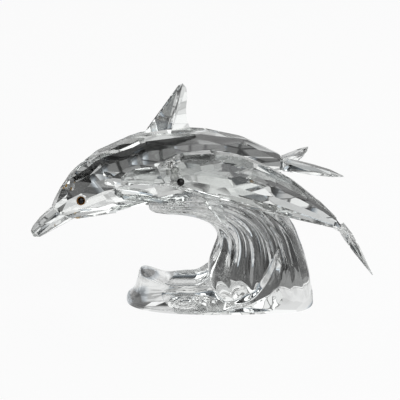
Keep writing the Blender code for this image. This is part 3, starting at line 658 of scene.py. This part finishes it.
def add_world(scene):
    """Room: pale low band behind the figurine, dark ceiling, dark left and bright right on the
    camera's side. Each colour reads it at a slightly different height, as the stones spread
    white light."""
    world = bpy.data.worlds.new("studio_room")
    world.use_nodes = True
    tree = world.node_tree
    tree.nodes.clear()
    output = tree.nodes.new("ShaderNodeOutputWorld")
    place = add_node(tree, "ShaderNodeTexCoord")
    parts = add_node(tree, "ShaderNodeSeparateXYZ", {0: place.outputs["Generated"]})
    back = add_node(tree, "ShaderNodeMapRange", {
        0: parts.outputs["Y"], 1: -0.1, 2: 0.5, 3: 0.0, 4: 1.0},
        interpolation_type="SMOOTHSTEP")
    right = add_node(tree, "ShaderNodeMapRange", {
        0: parts.outputs["X"], 1: 0.05, 2: 0.45, 3: 0.0, 4: 1.0},
        interpolation_type="SMOOTHSTEP")
    levels = []
    for shift in SPREAD:
        height = add_node(tree, "ShaderNodeMath", {
            0: parts.outputs["Z"], 1: 0.5, 2: 0.5 + shift}, operation="MULTIPLY_ADD")
        sides = []
        for stops in (ROOM_LEFT, ROOM_RIGHT, ROOM_BACK):
            ramp = add_node(tree, "ShaderNodeValToRGB", {0: height.outputs[0]})
            ramp.color_ramp.interpolation = "LINEAR"
            while len(ramp.color_ramp.elements) < len(stops):
                ramp.color_ramp.elements.new(0.5)
            for element, (sine, level) in zip(ramp.color_ramp.elements, stops):
                element.position = (sine + 1) / 2
                element.color = (level, level, level, 1)
            sides.append(ramp.outputs[0])
        front = add_node(tree, "ShaderNodeMix", {
            0: right.outputs[0], 2: sides[0], 3: sides[1]}, data_type="FLOAT")
        both = add_node(tree, "ShaderNodeMix", {
            0: back.outputs[0], 2: front.outputs[0], 3: sides[2]}, data_type="FLOAT")
        levels.append(both.outputs[0])
    colour = add_node(tree, "ShaderNodeCombineColor", {
        0: levels[0], 1: levels[1], 2: levels[2]})
    tone, gap = panel_nodes(tree, place.outputs["Generated"], 7.0, 0.2)
    shade = add_node(tree, "ShaderNodeMapRange", {0: tone, 1: 0.0, 2: 1.0, 3: 0.5, 4: 1.3})
    shade = add_node(tree, "ShaderNodeMath", {0: shade.outputs[0], 1: gap},
                     operation="MULTIPLY")
    colour = add_node(tree, "ShaderNodeVectorMath", {
        0: colour.outputs[0], "Scale": shade.outputs[0]}, operation="SCALE")
    path = add_node(tree, "ShaderNodeLightPath")
    seen = add_node(tree, "ShaderNodeMix", {
        0: path.outputs["Is Camera Ray"], 6: colour.outputs[0], 7: linear("#FFFFFF")},
        data_type="RGBA")
    background = add_node(tree, "ShaderNodeBackground", {
        "Color": seen.outputs[2], "Strength": 1.0})
    tree.links.new(background.outputs[0], output.inputs["Surface"])
    scene.world = world


def add_floor():
    """Plain white table top that runs far behind the figurine."""
    size = 4.0
    mesh = bpy.data.meshes.new("floor")
    low = -0.3 * MM
    mesh.from_pydata([(-size, -size, low), (size, -size, low), (size, size, low),
                      (-size, size, low)], [], [(0, 1, 2, 3)])
    floor = add_piece("floor", mesh)
    material, tree, output = new_material("white_table_top")
    diffuse = add_node(tree, "ShaderNodeBsdfDiffuse", {"Color": linear("#F4F4F4")})
    white = add_node(tree, "ShaderNodeEmission", {"Color": linear("#FFFFFF"), "Strength": 1.0})
    path = add_node(tree, "ShaderNodeLightPath")
    glass = add_node(tree, "ShaderNodeMath", {
        0: path.outputs["Is Glossy Ray"], 1: path.outputs["Is Transmission Ray"]},
        operation="MAXIMUM")
    part = add_node(tree, "ShaderNodeMath", {0: glass.outputs[0], 1: 0.5},
                    operation="MULTIPLY")
    share = add_node(tree, "ShaderNodeMath", {
        0: path.outputs["Is Camera Ray"], 1: 0.93, 2: part.outputs[0]},
        operation="MULTIPLY_ADD")
    mixed = add_node(tree, "ShaderNodeMixShader", {
        0: share.outputs[0], 1: diffuse.outputs[0], 2: white.outputs[0]})
    tree.links.new(mixed.outputs[0], output.inputs["Surface"])
    mesh.materials.append(material)


# Graded card round the figurine: radius in metres and grey level
CARD = ((0.030, 0.86), (0.080, 0.95), (0.170, 1.00), (0.260, 0.95), (0.600, 0.95))
# Dark cards that lie on it, most of them behind the figurine: middle, half size and soft edge
# in metres, and grey level
DARK_CARDS = (
    ((0.020, 0.062), (0.020, 0.040), 0.008, 0.07),
    ((0.000, 0.024), (0.019, 0.014), 0.006, 0.07),
    ((-0.019, 0.152), (0.014, 0.073), 0.010, 0.08),
    ((-0.040, 0.315), (0.018, 0.070), 0.010, 0.09),
    ((0.009, 0.135), (0.014, 0.028), 0.006, 0.08),
    ((0.075, 0.128), (0.016, 0.034), 0.006, 0.08),
    ((0.075, 0.208), (0.016, 0.036), 0.008, 0.10),
    ((-0.120, 0.222), (0.030, 0.026), 0.010, 0.14),
    ((-0.042, 0.014), (0.0020, 0.022), 0.004, 0.38),
    ((-0.030, -0.012), (0.020, 0.0015), 0.003, 0.34),
    ((0.052, -0.004), (0.006, 0.014), 0.004, 0.25),
)
CARD_SIDES = 96
# Radii in metres between which the panels' gaps and tones come in, so that the ring is calm
# close to the wave, and between which the gaps fade again far out
PANELS_BEGIN = (0.05, 0.09)
GAPS_END = (0.20, 0.26)
# Corners of the dark flag: left and right, depth, and top, in metres
FLAG_SIDES = (-0.30, -0.09)
FLAG_DEPTH = 0.42
FLAG_TOP = 0.19


def add_graded_card():
    """Pale ring of card on the table round the figurine with dark cards lying on it, seen
    only in the crystal. Each colour reads them a little farther out, as the stones spread
    it."""
    turn = np.linspace(0, 2 * math.pi, CARD_SIDES, endpoint=False)
    rim = np.stack([np.cos(turn), np.sin(turn), np.zeros_like(turn)], -1)
    rings = np.stack([rim * CARD[0][0], rim * CARD[-1][0]])
    rings[..., 2] = 0.2 * MM
    k = np.arange(CARD_SIDES)
    after = (k + 1) % CARD_SIDES
    mesh = bpy.data.meshes.new("graded_card")
    mesh.from_pydata(rings.reshape(-1, 3).tolist(), [],
                     np.stack([k, CARD_SIDES + k, CARD_SIDES + after, after], -1).tolist())
    ring = add_piece("graded_card", mesh)
    material, tree, output = new_material("graded_grey_card")
    place = add_node(tree, "ShaderNodeTexCoord")
    far = add_node(tree, "ShaderNodeVectorMath", {0: place.outputs["Object"]},
                   operation="LENGTH")
    aways = []
    for middle, _, _, _ in DARK_CARDS:
        away = add_node(tree, "ShaderNodeVectorMath", {
            0: place.outputs["Object"], 1: (*middle, 0.0)}, operation="SUBTRACT")
        away = add_node(tree, "ShaderNodeVectorMath", {0: away.outputs[0]},
                        operation="ABSOLUTE")
        aways.append(add_node(tree, "ShaderNodeSeparateXYZ", {0: away.outputs[0]}))
    levels = []
    for shift in SPREAD:
        share = add_node(tree, "ShaderNodeMapRange", {
            0: far.outputs["Value"], 1: CARD[0][0] + shift * 0.2,
            2: CARD[-1][0] + shift * 0.2, 3: 0.0, 4: 1.0})
        ramp = add_node(tree, "ShaderNodeValToRGB", {0: share.outputs[0]})
        while len(ramp.color_ramp.elements) < len(CARD):
            ramp.color_ramp.elements.new(0.5)
        for element, (radius, grey) in zip(ramp.color_ramp.elements, CARD):
            element.position = (radius - CARD[0][0]) / (CARD[-1][0] - CARD[0][0])
            element.color = (grey, grey, grey, 1)
        level = ramp.outputs[0]
        for away, (_, half, edge, grey) in zip(aways, DARK_CARDS):
            beside = add_node(tree, "ShaderNodeMapRange", {
                0: away.outputs["X"], 1: half[0] + shift * 0.04, 2: half[0] + edge + shift * 0.04,
                3: 1.0, 4: 0.0}, interpolation_type="SMOOTHSTEP")
            inside = add_node(tree, "ShaderNodeMapRange", {
                0: away.outputs["Y"], 1: half[1], 2: half[1] + edge,
                3: beside.outputs[0], 4: 0.0}, interpolation_type="SMOOTHSTEP")
            level = add_node(tree, "ShaderNodeMix", {
                0: inside.outputs[0], 2: level, 3: grey}, data_type="FLOAT").outputs[0]
        levels.append(level)
    colour = add_node(tree, "ShaderNodeCombineColor", {
        0: levels[0], 1: levels[1], 2: levels[2]})
    near = add_node(tree, "ShaderNodeMapRange", {
        0: far.outputs["Value"], 1: PANELS_BEGIN[0], 2: PANELS_BEGIN[1], 3: 1.0, 4: 0.2})
    depth = add_node(tree, "ShaderNodeMapRange", {
        0: far.outputs["Value"], 1: GAPS_END[0], 2: GAPS_END[1], 3: near.outputs[0], 4: 0.85})
    tone, gap = panel_nodes(tree, place.outputs["Object"], 42.0, depth.outputs[0])
    deep = add_node(tree, "ShaderNodeMath", {
        0: levels[1], 1: 0.40}, operation="LESS_THAN")
    least = add_node(tree, "ShaderNodeMapRange", {
        0: far.outputs["Value"], 1: PANELS_BEGIN[0], 2: PANELS_BEGIN[1], 3: 0.85, 4: 0.55})
    pale = add_node(tree, "ShaderNodeMapRange", {
        0: tone, 1: 0.0, 2: 1.0, 3: least.outputs[0], 4: 1.20})
    dark = add_node(tree, "ShaderNodeMapRange", {0: tone, 1: 0.15, 2: 1.0, 3: 0.25, 4: 4.2})
    shade = add_node(tree, "ShaderNodeMix", {
        0: deep.outputs[0], 2: pale.outputs[0], 3: dark.outputs[0]}, data_type="FLOAT")
    shade = add_node(tree, "ShaderNodeMath", {0: shade.outputs[0], 1: gap},
                     operation="MULTIPLY")
    colour = add_node(tree, "ShaderNodeVectorMath", {
        0: colour.outputs[0], "Scale": shade.outputs[0]}, operation="SCALE")
    glow = add_node(tree, "ShaderNodeEmission", {"Color": colour.outputs[0], "Strength": 1.0})
    tree.links.new(glow.outputs[0], output.inputs["Surface"])
    mesh.materials.append(material)
    ring.visible_camera = False
    ring.visible_shadow = False
    ring.visible_diffuse = False


def add_flag():
    """Dark flag that stands behind at the left, seen only in the facets."""
    mesh = bpy.data.meshes.new("dark_flag")
    left, right = FLAG_SIDES
    mesh.from_pydata([(left, FLAG_DEPTH, 0), (right, FLAG_DEPTH, 0),
                      (right, FLAG_DEPTH, FLAG_TOP), (left, FLAG_DEPTH, FLAG_TOP)],
                     [], [(0, 1, 2, 3)])
    flag = add_piece("dark_flag", mesh)
    material, tree, output = new_material("black_felt")
    felt = add_node(tree, "ShaderNodeEmission", {"Color": linear("#505356"), "Strength": 1.0})
    tree.links.new(felt.outputs[0], output.inputs["Surface"])
    mesh.materials.append(material)
    flag.visible_camera = False
    flag.visible_shadow = False
    flag.visible_diffuse = False


def add_lamps():
    """Soft boxes: a large one at the camera's right, a smaller one over the back."""
    for name, place, target, size, power in (
            ("key_softbox", (0.65, -0.5, 0.75), (0, 0, 0.05), 0.9, 4.5),
            ("top_softbox", (0.35, 0.55, 0.95), (0, 0, 0.05), 0.5, 1.8)):
        data = bpy.data.lights.new(name, "AREA")
        data.size = size
        data.energy = power
        lamp = bpy.data.objects.new(name, data)
        lamp.location = place
        aim = (Vector(target) - Vector(place)).to_track_quat("-Z", "Y")
        lamp.rotation_euler = aim.to_euler()
        bpy.context.scene.collection.objects.link(lamp)


def add_camera(scene, studio):
    """Camera at the photograph's angle."""
    data = bpy.data.cameras.new("camera")
    data.lens = studio.lens
    camera = bpy.data.objects.new("camera", data)
    target = Vector((-10.5 * MM, 0, 52.6 * MM))
    back = Vector((0, -math.cos(studio.elevation), math.sin(studio.elevation)))
    camera.location = target + back * studio.distance
    camera.rotation_euler = (math.pi / 2 - studio.elevation, 0, 0)
    scene.collection.objects.link(camera)
    scene.camera = camera


class FIGURINE_PT_panel(bpy.types.Panel):
    """Sidebar panel with the figurine's steps"""
    bl_label = "Crystal Figurine"
    bl_space_type = "VIEW_3D"
    bl_region_type = "UI"
    bl_category = "Figurine"

    def draw(self, context):
        for step in STEPS:
            self.layout.operator(step)


STEPS = ("figurine.stones", "figurine.wave", "figurine.eyes", "figurine.stage")
GROUPS = {"figurine_crystal": CrystalSettings, "figurine_wave": WaveSettings,
          "figurine_eyes": EyeSettings, "figurine_studio": StudioSettings}
CLASSES = (*GROUPS.values(), FIGURINE_OT_stones, FIGURINE_OT_wave, FIGURINE_OT_eyes,
           FIGURINE_OT_stage, FIGURINE_PT_panel)


def register():
    """Registers the classes and the settings."""
    for cls in CLASSES:
        bpy.utils.register_class(cls)
    for name, group in GROUPS.items():
        setattr(bpy.types.Scene, name, PointerProperty(type=group))


def unregister():
    """Takes the settings and the classes away again."""
    for name in GROUPS:
        delattr(bpy.types.Scene, name)
    for cls in reversed(CLASSES):
        bpy.utils.unregister_class(cls)


def main():
    register()
    for old in list(bpy.data.objects):
        if old.type in ("CAMERA", "LIGHT"):
            bpy.data.objects.remove(old)
    for step in STEPS:
        group, name = step.split(".")
        getattr(getattr(bpy.ops, group), name)()


if __name__ == "__main__":
    main()
